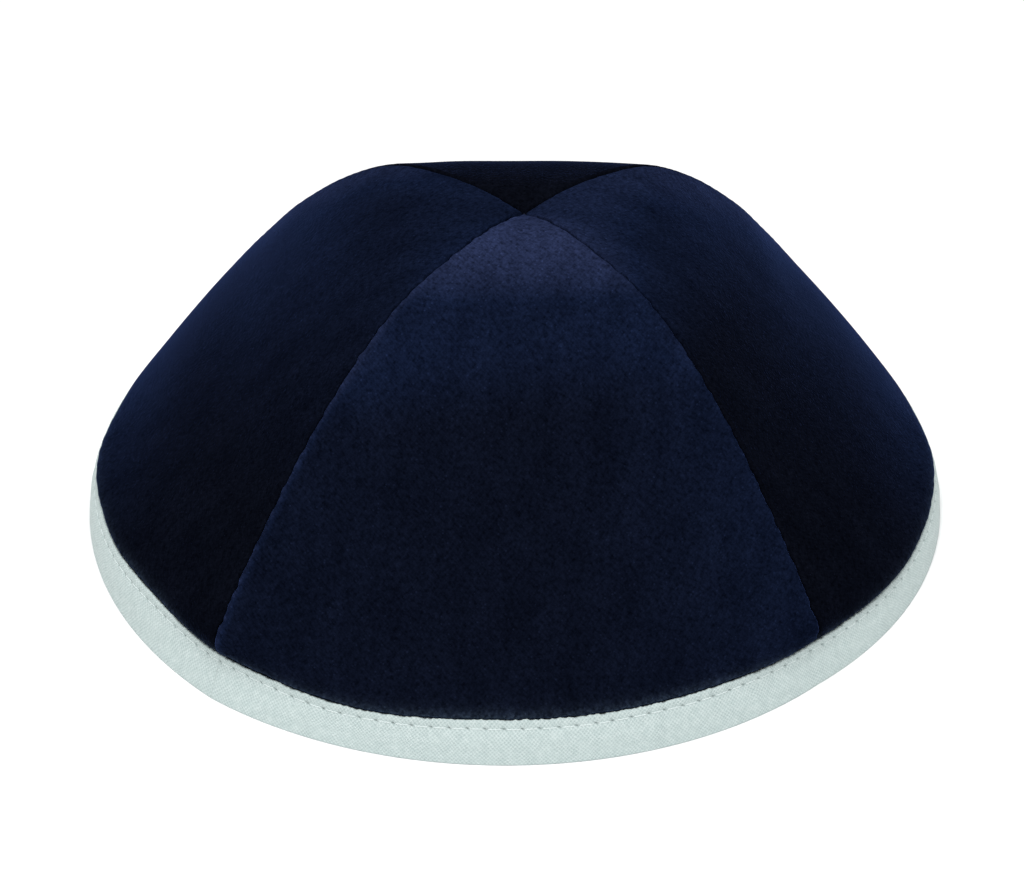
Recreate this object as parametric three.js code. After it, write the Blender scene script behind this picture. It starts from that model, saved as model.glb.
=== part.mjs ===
// Four-panel velvet skullcap with a bias-bound rim.
// Millimetres, +Z up, front towards -Y. The cap stands on its rim, centred over the origin.
import * as THREE from 'three';

// Driving sizes
const TAPE_WALL = 1.0; // folded bias tape, two layers of cotton
const CLEARANCE = 0.3; // kept between neighbouring pieces
const TUCKED_WALL = 1.0; // velvet pressed flat inside the binding
const PANEL_WALL = TAPE_WALL + CLEARANCE + TUCKED_WALL; // velvet with its pile and backing
const RIM_WALL = PANEL_WALL + CLEARANCE + TAPE_WALL; // the bound rim from outside to inside
const BINDING_WIDTH = 8; // height of the binding's two legs above the floor
const BINDING_SHOULDER = BINDING_WIDTH - TAPE_WALL / 3; // where the tape's folded edge rounds over
const FOLD_RADIUS = 0.9; // rounding of the tape's lower corners
const HEM_HEIGHT = 2.2; // the panels' raw edge inside the binding
const PUFF_HEIGHT = 1.6; // how fast the pile swells out above the binding
const SEAM_ROLL_DEPTH = 1.0; // how far a panel's edge turns in at a seam
const SEAM_ROLL_WIDTH = 2.4; // width of that turned edge
const MITRE_WIDTH = 7; // strip along a seam where the wall leans into the seam's plane
const MITRE_LIMIT = 1.6; // the most that a mitre lengthens the wall
const UPRIGHT_HEIGHT = 16; // below this the wall's thickness is turned level towards the binding
const CROWN_CENTRE = new THREE.Vector2(0.5, 0.9); // where the seams meet, seen from above
const CROWN_HOLE = 0.4; // from that meeting point to each panel's tip

// Seams from the crown to the rim, anticlockwise from above
const SEAMS = [
  { name: 'front_left', azimuth: 230, rimRadius: 85.2 },
  { name: 'front_right', azimuth: 313.6, rimRadius: 80.2 },
  { name: 'back_right', azimuth: 45, rimRadius: 82.5 },
  { name: 'back_left', azimuth: 137.4, rimRadius: 82 },
];

// Panels between one seam and the next; swell pushes the middle of the rim outwards
const PANELS = [
  { name: 'panel_front', from: 'front_left', to: 'front_right', swell: -1 },
  { name: 'panel_right', from: 'front_right', to: 'back_right', swell: -0.5 },
  { name: 'panel_back', from: 'back_right', to: 'back_left', swell: 0 },
  { name: 'panel_left', from: 'back_left', to: 'front_left', swell: -1.75 },
];

// Level sections from the crown down to the rim. reach: share of the way out along a seam.
// bulge: 0 for a straight side between two seams, 1 for a round one.
const SECTIONS = [
  { reach: 0, height: 63.4, bulge: 0 },
  { reach: 0.12, height: 64.2, bulge: 0.01 },
  { reach: 0.25, height: 63.3, bulge: 0.05 },
  { reach: 0.4, height: 60.3, bulge: 0.11 },
  { reach: 0.55, height: 53, bulge: 0.21 },
  { reach: 0.7, height: 42.2, bulge: 0.325 },
  { reach: 0.8, height: 33, bulge: 0.45 },
  { reach: 0.88, height: 25, bulge: 0.58 },
  { reach: 0.952, height: 17, bulge: 0.7 },
  { reach: 0.978, height: 12, bulge: 0.83 },
  { reach: 0.972, height: 7, bulge: 1.04 },
  { reach: 1, height: 0, bulge: 1.01 },
];
const QUARTER_RISE = Math.tan(Math.PI / 8); // rise over half chord of a quarter circle
const LEAST_RISE = 1e-3; // keeps a straight side an arc of finite radius
const SWELL_FADE = 4; // power by which a panel's swell fades from the rim upwards

// Levels on the profile, which runs from 0 at the crown to 1 at the rim
const FIRST_LEVEL = 0.03; // a panel's first row below its tip
const SHOULDER_LEVEL = 0.2; // below this the profile only falls

// Fineness of the facets
const CROWN_ROWS = 12;
const PANEL_COLUMNS = 11;
const ROLL_COLUMNS = [0, 0.2, 0.55, 1]; // across a rolled edge, as shares of its width
const BINDING_STATIONS = 18;

// A smooth curve through the sections: reach, height and bulge at a level from 0 to 1
const profile = new THREE.CatmullRomCurve3(
  SECTIONS.map((row) => new THREE.Vector3(row.reach, row.height, row.bulge)), false, 'catmullrom');

function smoothStep(low, high, value) {
  return THREE.MathUtils.smoothstep(value, low, high);
}

// The level whose section has the given height, on the falling part of the profile
function levelAtHeight(height) {
  let above = SHOULDER_LEVEL;
  let below = 1;
  for (let step = 0; step < 40; step += 1) {
    const middle = (above + below) / 2;
    if (profile.getPoint(middle).y > height) above = middle;
    else below = middle;
  }
  return (above + below) / 2;
}

// A seam seen from above: its unit direction and its length from the crown's centre to the rim
function seamPlan(name) {
  const seam = SEAMS.find((row) => row.name === name);
  const azimuth = THREE.MathUtils.degToRad(seam.azimuth);
  const rim = new THREE.Vector2(Math.cos(azimuth), Math.sin(azimuth)).multiplyScalar(seam.rimRadius);
  const run = rim.sub(CROWN_CENTRE);
  return { direction: run.clone().normalize(), length: run.length() };
}

// A panel's edge at a reach: on the seam, or moved into the panel by a margin
function edgePoint(seam, reach, margin, turn) {
  const side = new THREE.Vector2(-seam.direction.y, seam.direction.x).multiplyScalar(turn * margin);
  return CROWN_CENTRE.clone().addScaledVector(seam.direction, seam.length * reach).add(side);
}

// The outside of the cap: across runs from -1 on the panel's first seam to 1 on its second
function outsidePoint(panel, level, across, margin) {
  const { x: reach, y: height, z: bulge } = profile.getPoint(level);
  const first = edgePoint(seamPlan(panel.from), reach, margin, 1);
  const second = edgePoint(seamPlan(panel.to), reach, margin, -1);
  const half = second.clone().sub(first).multiplyScalar(0.5);
  const outward = new THREE.Vector2(half.y, -half.x);
  const swell = (panel.swell * reach ** SWELL_FADE) / half.length();
  const rise = Math.max(bulge * QUARTER_RISE + swell, LEAST_RISE);
  const radius = (1 + rise * rise) / (2 * rise);
  const angle = Math.asin(1 / radius) * across;
  const point = first.add(second).multiplyScalar(0.5);
  point.addScaledVector(half, radius * Math.sin(angle));
  point.addScaledVector(outward, radius * Math.cos(angle) - radius + rise);
  return new THREE.Vector3(point.x, point.y, height);
}

// The outward normal, turned level near the binding
function outsideNormal(panel, level, across, margin) {
  const step = 1e-3;
  const at = (l, a) => outsidePoint(panel, l, a, margin);
  const along = at(level, across + step).sub(at(level, across - step));
  const down = at(Math.min(level + step, 1), across).sub(at(level - step, across));
  const normal = down.cross(along).normalize();
  const height = at(level, across).z;
  normal.z *= smoothStep(BINDING_WIDTH, UPRIGHT_HEIGHT, height);
  return normal.normalize();
}

// The same direction held in a seam's plane and lengthened, so that two walls meet in a mitre
function mitreNormal(panel, level, side, margin) {
  const { direction } = seamPlan(side < 0 ? panel.from : panel.to);
  const normal = outsideNormal(panel, level, side, margin);
  const outwards = new THREE.Vector3(direction.x, direction.y, 0);
  const held = outwards.multiplyScalar(normal.dot(outwards)).setZ(normal.z).normalize();
  return held.divideScalar(Math.max(held.dot(normal), 1 / MITRE_LIMIT));
}

// The way a panel's wall runs inwards from its outside: a normal, mitred beside the seams
function wallDirection(panel, level, across, margin, halfWidth) {
  const side = across < 0 ? -1 : 1;
  const fromSeam = (1 - Math.abs(across)) * halfWidth;
  const mitred = 1 - Math.min(fromSeam / Math.min(MITRE_WIDTH, halfWidth), 1);
  const normal = outsideNormal(panel, level, across, margin);
  return normal.lerp(mitreNormal(panel, level, side, margin), mitred);
}

// How far the velvet lies inside the cap's outline: rolled at the seams, pressed in the binding
function velvetInset(height, fromSeam, rollWidth) {
  const lip = BINDING_WIDTH + CLEARANCE;
  const pressed = 1 - smoothStep(lip, lip + PUFF_HEIGHT, height);
  const roll = Math.max(1 - fromSeam / rollWidth, 0);
  const rolled = SEAM_ROLL_DEPTH * (1 - Math.sqrt(1 - roll * roll));
  return THREE.MathUtils.lerp(rolled, TAPE_WALL + CLEARANCE, pressed);
}

// Column places across a panel: close together where its edges roll, even between
function columnPlaces(halfWidth, rollWidth) {
  const rolled = ROLL_COLUMNS.map((share) => 1 - (share * rollWidth) / halfWidth);
  const last = rolled[rolled.length - 1];
  const even = [];
  for (let column = 1; column < PANEL_COLUMNS; column += 1) {
    even.push(last * (1 - (2 * column) / PANEL_COLUMNS));
  }
  const places = [...rolled, ...even];
  const mirrored = rolled.map((place) => -place).reverse();
  return [...places, ...mirrored].reverse();
}

// Row levels down a panel: even over the crown, then by height through the binding's edge
function rowLevels() {
  const skirtTop = levelAtHeight(UPRIGHT_HEIGHT);
  const levels = [];
  for (let row = 0; row <= CROWN_ROWS; row += 1) {
    levels.push(THREE.MathUtils.lerp(FIRST_LEVEL, skirtTop, row / CROWN_ROWS));
  }
  const lip = BINDING_WIDTH + CLEARANCE;
  const puff = [2, 1, 0.5, 0].map((share) => lip + share * PUFF_HEIGHT);
  const skirt = [...puff, BINDING_SHOULDER, BINDING_WIDTH / 2, HEM_HEIGHT];
  return [...levels, ...skirt.map(levelAtHeight)];
}

// A closed body from its points and the corners of its faces
function solid(vertices, faces) {
  const geometry = new THREE.BufferGeometry();
  const numbers = vertices.flatMap((vertex) => vertex.toArray());
  geometry.setAttribute('position', new THREE.Float32BufferAttribute(numbers, 3));
  geometry.setIndex(faces.flat());
  geometry.computeVertexNormals();
  return geometry;
}

// A four-cornered face as two triangles
function quad(a, b, c, d) {
  return [a, b, c, a, c, d];
}

// One panel: an outer and an inner skin that meet at the tip, along both seams and at the hem
function panelGeometry(panel) {
  const margin = CLEARANCE / 2;
  const levels = rowLevels();
  const vertices = [];
  const faces = [];
  let columns = 0;
  for (const level of levels) {
    const reach = profile.getPoint(level).x;
    const left = edgePoint(seamPlan(panel.from), reach, margin, 1);
    const halfWidth = left.distanceTo(edgePoint(seamPlan(panel.to), reach, margin, -1)) / 2;
    const rollWidth = Math.min(SEAM_ROLL_WIDTH, halfWidth / 2);
    const places = columnPlaces(halfWidth, rollWidth);
    columns = places.length;
    for (const across of places) {
      const outside = outsidePoint(panel, level, across, margin);
      const inwards = wallDirection(panel, level, across, margin, halfWidth).negate();
      const inset = velvetInset(outside.z, (1 - Math.abs(across)) * halfWidth, rollWidth);
      vertices.push(outside.clone().addScaledVector(inwards, inset));
      vertices.push(outside.clone().addScaledVector(inwards, PANEL_WALL));
    }
  }
  const outer = (row, column) => 2 * (row * columns + column);
  const inner = (row, column) => outer(row, column) + 1;
  const end = columns - 1;
  for (let row = 0; row + 1 < levels.length; row += 1) {
    for (let column = 0; column < end; column += 1) {
      const next = column + 1;
      faces.push(quad(outer(row, column), outer(row + 1, column), outer(row + 1, next), outer(row, next)));
      faces.push(quad(inner(row, column), inner(row, next), inner(row + 1, next), inner(row + 1, column)));
    }
    faces.push(quad(outer(row + 1, 0), outer(row, 0), inner(row, 0), inner(row + 1, 0)));
    faces.push(quad(outer(row, end), outer(row + 1, end), inner(row + 1, end), inner(row, end)));
  }
  const hem = levels.length - 1;
  const bisector = seamPlan(panel.from).direction.add(seamPlan(panel.to).direction).normalize();
  const tip = CROWN_CENTRE.clone().addScaledVector(bisector, CROWN_HOLE);
  const tipOuter = vertices.length;
  const tipInner = tipOuter + 1;
  vertices.push(new THREE.Vector3(tip.x, tip.y, SECTIONS[0].height - SEAM_ROLL_DEPTH));
  vertices.push(new THREE.Vector3(tip.x, tip.y, SECTIONS[0].height - PANEL_WALL));
  for (let column = 0; column < end; column += 1) {
    const next = column + 1;
    faces.push([tipOuter, outer(0, column), outer(0, next)]);
    faces.push([tipInner, inner(0, next), inner(0, column)]);
    faces.push(quad(outer(hem, next), outer(hem, column), inner(hem, column), inner(hem, next)));
  }
  faces.push(quad(outer(0, 0), tipOuter, tipInner, inner(0, 0)));
  faces.push(quad(tipOuter, outer(0, end), inner(0, end), tipInner));
  return solid(vertices, faces);
}

// The binding's section as inset from the cap's outline and height above the floor:
// down the outer leg, under the fold, up the inner leg, then down and up the channel for the hem
function bindingSection() {
  const soft = FOLD_RADIUS * (1 - Math.SQRT1_2);
  const outerLeg = [
    [BINDING_WIDTH - BINDING_SHOULDER, BINDING_WIDTH],
    [0, BINDING_SHOULDER],
    [0, BINDING_WIDTH / 2],
    [0, FOLD_RADIUS],
    [soft, soft],
    [FOLD_RADIUS, 0],
  ];
  const opposite = (points) => points.map(([inset, height]) => [RIM_WALL - inset, height]).reverse();
  const channelWall = [
    [TAPE_WALL, TAPE_WALL],
    [TAPE_WALL, BINDING_WIDTH / 2],
    [TAPE_WALL, BINDING_SHOULDER],
  ];
  return [...outerLeg, ...opposite(outerLeg), ...opposite(channelWall), ...channelWall];
}

// The binding: one closed ring of tape round all four panels
function bindingGeometry() {
  const section = bindingSection();
  const vertices = [];
  const faces = [];
  for (const panel of PANELS) {
    for (let station = 0; station < BINDING_STATIONS; station += 1) {
      const across = (2 * station) / BINDING_STATIONS - 1;
      for (const [inset, height] of section) {
        const level = levelAtHeight(height);
        const outside = outsidePoint(panel, level, across, 0);
        const halfWidth = outsidePoint(panel, level, -1, 0).distanceTo(outsidePoint(panel, level, 1, 0)) / 2;
        const inwards = wallDirection(panel, level, across, 0, halfWidth).negate();
        vertices.push(outside.addScaledVector(inwards, inset).setZ(height));
      }
    }
  }
  const count = section.length;
  const stations = vertices.length / count;
  for (let station = 0; station < stations; station += 1) {
    const here = station * count;
    const there = ((station + 1) % stations) * count;
    for (let point = 0; point < count; point += 1) {
      const next = (point + 1) % count;
      faces.push(quad(here + point, here + next, there + next, there + point));
    }
  }
  return solid(vertices, faces);
}

const velvet = new THREE.MeshStandardMaterial({ color: '#141b36', roughness: 0.95, metalness: 0 });
const tape = new THREE.MeshStandardMaterial({ color: '#cbd8d8', roughness: 0.85, metalness: 0 });

const cap = new THREE.Group();
for (const panel of PANELS) {
  const mesh = new THREE.Mesh(panelGeometry(panel), velvet.clone());
  mesh.name = panel.name;
  cap.add(mesh);
}
const binding = new THREE.Mesh(bindingGeometry(), tape);
binding.name = 'rim_binding';
cap.add(binding);

// Centre the rim over the origin
const middle = new THREE.Box3().setFromObject(binding).getCenter(new THREE.Vector3());
cap.position.set(-middle.x, -middle.y, 0);

export default cap;
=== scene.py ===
import math
from collections import namedtuple

import bpy
import numpy as np
from mathutils import Matrix, Vector


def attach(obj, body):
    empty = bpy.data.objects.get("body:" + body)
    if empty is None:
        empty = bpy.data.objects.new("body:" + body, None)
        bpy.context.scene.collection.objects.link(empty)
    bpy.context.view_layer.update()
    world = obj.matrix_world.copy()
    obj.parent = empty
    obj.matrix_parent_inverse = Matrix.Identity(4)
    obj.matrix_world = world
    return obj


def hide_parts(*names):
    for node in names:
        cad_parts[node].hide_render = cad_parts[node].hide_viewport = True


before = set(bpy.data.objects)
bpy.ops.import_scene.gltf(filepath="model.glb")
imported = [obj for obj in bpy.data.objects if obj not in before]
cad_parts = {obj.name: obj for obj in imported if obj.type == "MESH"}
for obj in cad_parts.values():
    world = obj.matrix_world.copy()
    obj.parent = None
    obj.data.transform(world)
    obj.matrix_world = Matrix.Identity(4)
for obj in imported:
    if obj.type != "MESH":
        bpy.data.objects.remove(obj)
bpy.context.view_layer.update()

# Sizes in millimetres. Pieces are scaled to metres as their meshes are made.
MM = 0.001
TAPE_WALL = 1.0  # folded bias tape, two layers of cotton
CLEARANCE = 0.3  # between the tape and the velvet inside it
TUCKED_WALL = 1.0  # velvet pressed flat inside the binding
PANEL_WALL = TAPE_WALL + CLEARANCE + TUCKED_WALL
RIM_WALL = PANEL_WALL + CLEARANCE + TAPE_WALL
BINDING_WIDTH = 8.0
HEM_HEIGHT = 2.2  # the velvet's lower edge, inside the binding
UPRIGHT_HEIGHT = 16.0  # from here down to the binding the walls' thickness turns level
MITRE_WIDTH = 7.0  # from a seam to where the mitre of its two walls ends
MITRE_LIMIT = 1.6  # the longest mitre, in wall thicknesses
CROWN_CENTRE = np.array([0.5, 0.9])  # where the seams meet, seen from above
QUARTER_RISE = math.tan(math.pi / 8)  # a quarter circle's rise over half its chord
LEAST_RISE = 1e-3  # keeps a nearly straight side an arc
SWELL_FADE = 4  # power of the reach with which a panel's swell grows towards the rim

# Seams of the velvet
SEAM_GAP = 0.06  # between two panels
ROLL_DEPTH = 0.85  # how far a panel's edge turns in at a seam
UPPER_ROLL_WIDTH = 0.9  # on the panel that lies over the seam
LOWER_ROLL_WIDTH = 1.4  # on the panel that lies under it
SEAM_START = 3.0  # from the crown's middle to where a seam strays in full from its straight line
SEAM_WAVE = 0.2  # unevenness of the seams
TIP_FADE = (8.0, 20.0)  # distances down a seam between which a panel's blunt tip ends
FOOT_START = (BINDING_WIDTH - 0.5, BINDING_WIDTH + 0.6)  # heights between which a seam's foot begins
FOOT_SWING = (9.0, 16.0)  # heights between which a seam swings out towards its foot
PUCKER_PITCH = 2.8  # stitch length of the seams
PUCKER_DEPTH = 0.2  # how far a stitch pulls the velvet in
PUCKER_WIDTH = 2.2  # how far from the seam that is felt
PUCKER_STRAY = 0.5  # share of a stitch by which the stitches stray
PUCKER_STRAY_WAVE = 31.0
PULL_CHANGE = 0.4  # share of a stitch's pull that changes along a seam
PULL_CHANGE_WAVE = 17.0

# Pile of the velvet
WAVE_DEPTH = 0.16  # slow unevenness of the cloth
WAVE_LENGTH = 26.0
WAVE_MARGIN = 12.0  # from a seam to where that unevenness is full
OVERHANG_RISE = 1.6  # from the binding's edge up to where the velvet stands out furthest over it
OVERHANG_HEIGHT = 2.8  # how far above and below that it still stands out
LIP_DROP = 0.3  # how far the pile reaches down behind the binding's edge
LIP_HEIGHT = 1.0  # how fast it swells out above that edge
LIP_FRAY = 0.12  # its unevenness along the edge
LIP_FRAY_WAVE = 2.2
FUZZ_SHEEN_HEIGHT = 0.6  # height above that edge of the painted sheen on the pile's tips
TUFT_PITCH = 0.44  # from tuft to tuft of the pile
GRAIN_SIZE, GRAIN_DEPTH = 0.5, 0.4  # of the single tufts that stand up
CLUMP_SIZE = 1.05  # of the clumps that the tufts stand in
STREAK_LENGTH = 1.1  # of the rows that the tufts lie in
STREAK_PITCH = 0.45
ROW_HEADING, CROSS_HEADING = 50, -55  # degrees on the cloth, of those rows
PATCH_SIZE = (6.0, 15.0)  # across and along a panel, where the pile is brushed one way or another
# Painted light and shade of the pile, which its colour is mixed by
CROWN_START = (59.5, 65.0)  # heights between which the level crown begins, and with it its painted light
SIDES_FADE = (50.0, 61.0)  # heights between which the painted light and shade of the panels' sides becomes like that of their middles
TURN_WIDTH = 0.55  # the part of a half panel over which the painted sheen grows towards one seam
HEM_SHEEN = 1.5  # how much stronger that painted sheen is near the binding
HEM_FADE = (10.0, 24.0)  # heights between which that ends
FOLD_HIGHLIGHT = 1.2  # share of the painted highlight beside a seam that shows between its stitches
STITCH_SHADE = 0.9  # painted shade: what a stitch takes from that highlight

# Binding
EDGE_RADIUS = 0.28  # the tape's folded upper edges
EDGE_ARC = (60, 180)  # degrees of the section over which they are round
EDGE_WAVE = 0.07  # slow unevenness of the tape's upper edge
EDGE_WAVE_LENGTH = 6.5
EDGE_TEETH = 0.14  # fine unevenness of that edge, from its threads
FOLD_RADIUS = 0.3  # the tape's fold under the rim
FOLD_ARC = (200, 270)
FOLD_FLAT = 0.15  # height below which the tape is flat, without puff or groove
SEWN_MARGIN = 2.0  # part of the tape at its edge and at its fold that isn't stretched by uneven sewing
STITCH_DROP = 1.3  # from the tape's edge to the row of stitches
STITCH_HEIGHT = BINDING_WIDTH - STITCH_DROP
STITCH_PITCH = 3.3
ROW_STRAY = 0.08  # unevenness of the row of stitches
ROW_STRAY_WAVE = 41.0
GROOVE_DEPTH = 0.05  # the tape pulled in along the stitches
GROOVE_WIDTH = 0.42
DIMPLE_DEPTH = 0.08  # the tape pulled in round each needle hole
DIMPLE_LENGTH = 0.8
DIMPLE_WIDTH = 0.7
TAPE_PUFF = 0.22  # the tape's fullness below the stitches
PUFF_POWER = 0.8  # below 1, so that the fullness is blunt
PUFF_SHARE, PUFF_CHANGE = 0.8, 0.35  # its mean and its unevenness along the tape
PUFF_CHANGE_WAVE = 9.0
HOLE_DEPTH = 0.28
HOLE_LENGTH = 0.34
HOLE_WIDTH = 0.15
HOLE_SLANT = 0.4  # fall of a needle hole along the tape
HOLE_STRAY = 0.06  # share of a stitch by which a hole strays
THREAD_RADIUS = 0.12
THREAD_START = 0.11  # share of a stitch from its hole to where the thread comes up
THREAD_SINK = 0.45  # share of its radius by which a thread is sunk into the tape
THREAD_DIP = 1.2  # and how many radii deeper its ends are
THREAD_THINNING = 0.45  # share of its radius that it loses at its ends
THREAD_BEND = 6  # power with which it bends towards its ends
WEAVE_PITCH = 0.53  # from thread to thread of the tape's cotton

# Fineness of the meshes
CROWN_ROWS = 261
SKIRT_ROWS = 36
HEM_ROWS = 8
SKIRT_TOP = BINDING_WIDTH + 4  # heights between which the rows lie closest
SKIRT_LOW = BINDING_WIDTH - 1.3
PANEL_COLUMNS = 161
INNER_STEP = 4  # the inside has one row and column for each of these outside
FIRST_LEVEL = 0.004  # the first row, just beside the crown's middle
EDGE_CROWDING = 0.84  # how much closer the columns lie along the seams
BODY_DROP = 0.8  # from the stitches down to the tape's even rows
STATIONS_PER_STITCH = 14
THREAD_SIDES = 8
THREAD_STOPS = 11

# Heights of the tape's finer rows above and below its stitches, outside and inside the cap
OUTER_ROWS = (0.45, 0.3, 0.18, 0.08, 0, -0.08, -0.18, -0.3, -0.45)
INNER_ROWS = (0.4, 0.15, 0, -0.15, -0.4)

# Seeds of what is uneven
SEAM_SEED = 60
PULL_SEED = 80
PANEL_SEED, PANEL_SEED_STEP = 20, 10
HOLE_SEED = 5
ROW_SEED = 8
PUFF_SEED = 9
EDGE_SEED = 11
TEETH_SEED = 12

# Seams from the crown to the rim, and the panel that lies over each. lean: how far a seam strays from
# its straight line, anticlockwise seen from above. tip: how much further it does so near the crown,
# where the front panel is blunt. spread: how much further at its foot. light: width of the painted
# highlight beside it. pucker: share of the full pull of its stitches.
Seam = namedtuple("Seam", "azimuth rim_radius over lean tip spread light pucker")
SEAMS = {
    "front_left": Seam(230, 85.2, "panel_front", -0.3, -0.4, -1.0, 1.1, 1),
    "front_right": Seam(313.6, 80.2, "panel_front", 0.55, 0.4, 1.3, 1, 0.9),
    "back_right": Seam(45, 82.5, "panel_right", 0, 0, 0, 11, 0.4),
    "back_left": Seam(137.4, 82, "panel_left", 0, 0, 0, 7, 0.4),
}

# Panels between one seam and the next. swell pushes the middle of the rim outwards.
Panel = namedtuple("Panel", "piece node first second swell")
PANELS = [
    Panel("velvet_front", "panel_front", "front_left", "front_right", -1),
    Panel("velvet_right", "panel_right", "front_right", "back_right", -0.5),
    Panel("velvet_back", "panel_back", "back_right", "back_left", 0),
    Panel("velvet_left", "panel_left", "back_left", "front_left", -1.75),
]

# Painted light and shade of the pile, from 0 to 1, by which each panel's colour is mixed: mostly lighter
# up towards the crown, painted sheen towards one side and near the binding, painted highlights in the
# folds beside the seams and painted shade beside the front seams.
# foot: at the binding. climb: what is added from the start height to the end height. tilt: how much
# higher those lie at the second seam than in the middle. first, second: shares that are added towards
# the two seams, painted light above 0 and painted shade below. turn: painted sheen added past the middle
# towards the second seam, or the first if below 0. crown: painted light added on the level crown, with
# its own shares towards the seams. first_light and second_light: painted highlights added in the narrow
# folds beside the seams.
PaintedLight = namedtuple("PaintedLight", [
    "foot", "climb", "start", "end", "tilt", "first", "second", "turn",
    "crown", "crown_first", "crown_second", "first_light", "second_light"])
PAINTED_LIGHTS = {
    "panel_front": PaintedLight(0.097, 0.17, 46, 58, 3, 0.5, 1.55, 0, 0.7, 0, 0, 0.38, 0.05),
    "panel_right": PaintedLight(0.045, 0.17, 46, 60, -2, -0.5, 0, 0.14, 0.2, 1.2, 0, 0, 0.3),
    "panel_back": PaintedLight(0.125, -0.105, 34, 61, 0, 0, 0, 0, 0, 0, 0, 0, 0),
    "panel_left": PaintedLight(0.045, 0.12, 24, 58, 4, 0.2, -0.4, -0.1, 0.06, 0, 2.0, 0.32, 0),
}

# Level sections from the crown down to the rim. reach: share of the way out along a seam.
# bulge: 0 for a straight side between two seams, 1 for a round one.
Section = namedtuple("Section", "reach height bulge")
SECTIONS = [
    Section(0, 63.4, 0),
    Section(0.12, 64.2, 0.01),
    Section(0.25, 63.3, 0.05),
    Section(0.4, 60.3, 0.11),
    Section(0.55, 53, 0.21),
    Section(0.7, 42.2, 0.325),
    Section(0.8, 33, 0.45),
    Section(0.88, 25, 0.58),
    Section(0.952, 17, 0.7),
    Section(0.978, 12, 0.83),
    Section(0.972, 7, 1.04),
    Section(1, 0, 1.01),
]

# The binding's upper edge round the rim, which isn't sewn quite level.
# overhang: how far the velvet stands out over it.
Edge = namedtuple("Edge", "azimuth rise overhang")
EDGES = [
    Edge(0, -0.5, 0.8),
    Edge(16, 0, 0.1),
    Edge(60, 0, 0.2),
    Edge(120, 0, 0.2),
    Edge(165, 0, 0.1),
    Edge(181, -0.5, 0.9),
    Edge(197, -0.2, 0.2),
    Edge(216, 0.9, 0),
    Edge(233, 0.2, 0.1),
    Edge(249, -0.6, 0.1),
    Edge(268, 0.15, 0.1),
    Edge(298, 0.25, 0.1),
    Edge(316, -0.3, 0.2),
    Edge(340, -0.6, 0.7),
]


def smooth_step(low, high, value):
    share = np.clip((value - low) / (high - low), 0, 1)
    return share * share * (3 - 2 * share)


def unit(vectors):
    return vectors / np.linalg.norm(vectors, axis=-1, keepdims=True)


def distance_along(line):
    """Distances along a line of points, from its first point to each."""
    steps = np.linalg.norm(np.diff(line, axis=0), axis=-1)
    return np.concatenate([[0], np.cumsum(steps)])


def wobble(place, wave, seed):
    """A smooth uneven wave from about -1 to 1 along a length."""
    random = np.random.default_rng(seed)
    total = np.zeros(np.shape(place))
    for share in (1.0, 0.62, 0.41):
        total += share * np.sin(2 * np.pi * place / (wave * share) + random.uniform(0, 2 * np.pi))
    return total / 2


def swell(points, wave, seed):
    """A smooth uneven wave from about -1 to 1 through space."""
    random = np.random.default_rng(seed)
    total = np.zeros(points.shape[:-1])
    for _ in range(7):
        heading = unit(random.normal(size=3)) * 2 * np.pi / (wave * random.uniform(0.6, 1.5))
        total += np.sin(points @ heading + random.uniform(0, 2 * np.pi))
    return total / 4


# The cap's outside

def profile(level):
    """Reach, height and bulge at a level from 0 at the crown to 1 at the rim."""
    rows = np.array(SECTIONS, float)
    ends = np.vstack([2 * rows[0] - rows[1], rows, 2 * rows[-1] - rows[-2]])
    place = np.clip(level, 0, 1) * (len(rows) - 1)
    first = np.minimum(place.astype(int), len(rows) - 2)
    share = (place - first)[..., None]
    a, b, c, d = (ends[first + k] for k in range(4))
    bend = 2 * a - 5 * b + 4 * c - d + share * (3 * (b - c) + d - a)
    return np.moveaxis(b + share / 2 * (c - a + share * bend), -1, 0)


def level_at(height):
    """The level of a height on the falling part of the profile."""
    levels = np.linspace(0.2, 1, 8001)
    return np.interp(-np.asarray(height, float), -profile(levels)[1], levels)


def seam_plan(name):
    """A seam's direction and length seen from above."""
    azimuth = math.radians(SEAMS[name].azimuth)
    run = SEAMS[name].rim_radius * np.array([math.cos(azimuth), math.sin(azimuth)]) - CROWN_CENTRE
    return unit(run), np.linalg.norm(run)


def edge_points(name, reach, margin):
    """A seam's places seen from above, moved sideways by a margin."""
    direction, length = seam_plan(name)
    side = np.array([-direction[1], direction[0]]) * margin
    return CROWN_CENTRE + reach[..., None] * length * direction + side


def outside(panel, level, across, margin=0.0):
    """Points of the cap's outline: across runs from -1 on a panel's first seam to 1 on its second."""
    level, across = np.broadcast_arrays(level, across)
    reach, height, bulge = profile(level)
    first = edge_points(panel.first, reach, margin)
    second = edge_points(panel.second, reach, -margin)
    half = (second - first) / 2
    rise = bulge * QUARTER_RISE + panel.swell * reach**SWELL_FADE / np.linalg.norm(half, axis=-1)
    rise = np.maximum(rise, LEAST_RISE)
    radius = (1 + rise**2) / (2 * rise)
    angle = np.arcsin(1 / radius) * across
    flat = (first + second) / 2 + (radius * np.sin(angle))[..., None] * half
    outward = np.stack([half[..., 1], -half[..., 0]], axis=-1)
    flat = flat + (radius * np.cos(angle) - radius + rise)[..., None] * outward
    return np.concatenate([flat, height[..., None]], axis=-1)


def outward_normal(panel, level, across, margin):
    """The outline's normal, turned level near the binding."""
    step = 1e-3
    along = outside(panel, level, across + step, margin) - outside(panel, level, across - step, margin)
    below = outside(panel, np.minimum(level + step, 1), across, margin)
    down = below - outside(panel, level - step, across, margin)
    normal = unit(np.cross(down, along))
    height = outside(panel, level, across, margin)[..., 2]
    normal[..., 2] *= smooth_step(BINDING_WIDTH, UPRIGHT_HEIGHT, height)
    return unit(normal)


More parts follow.
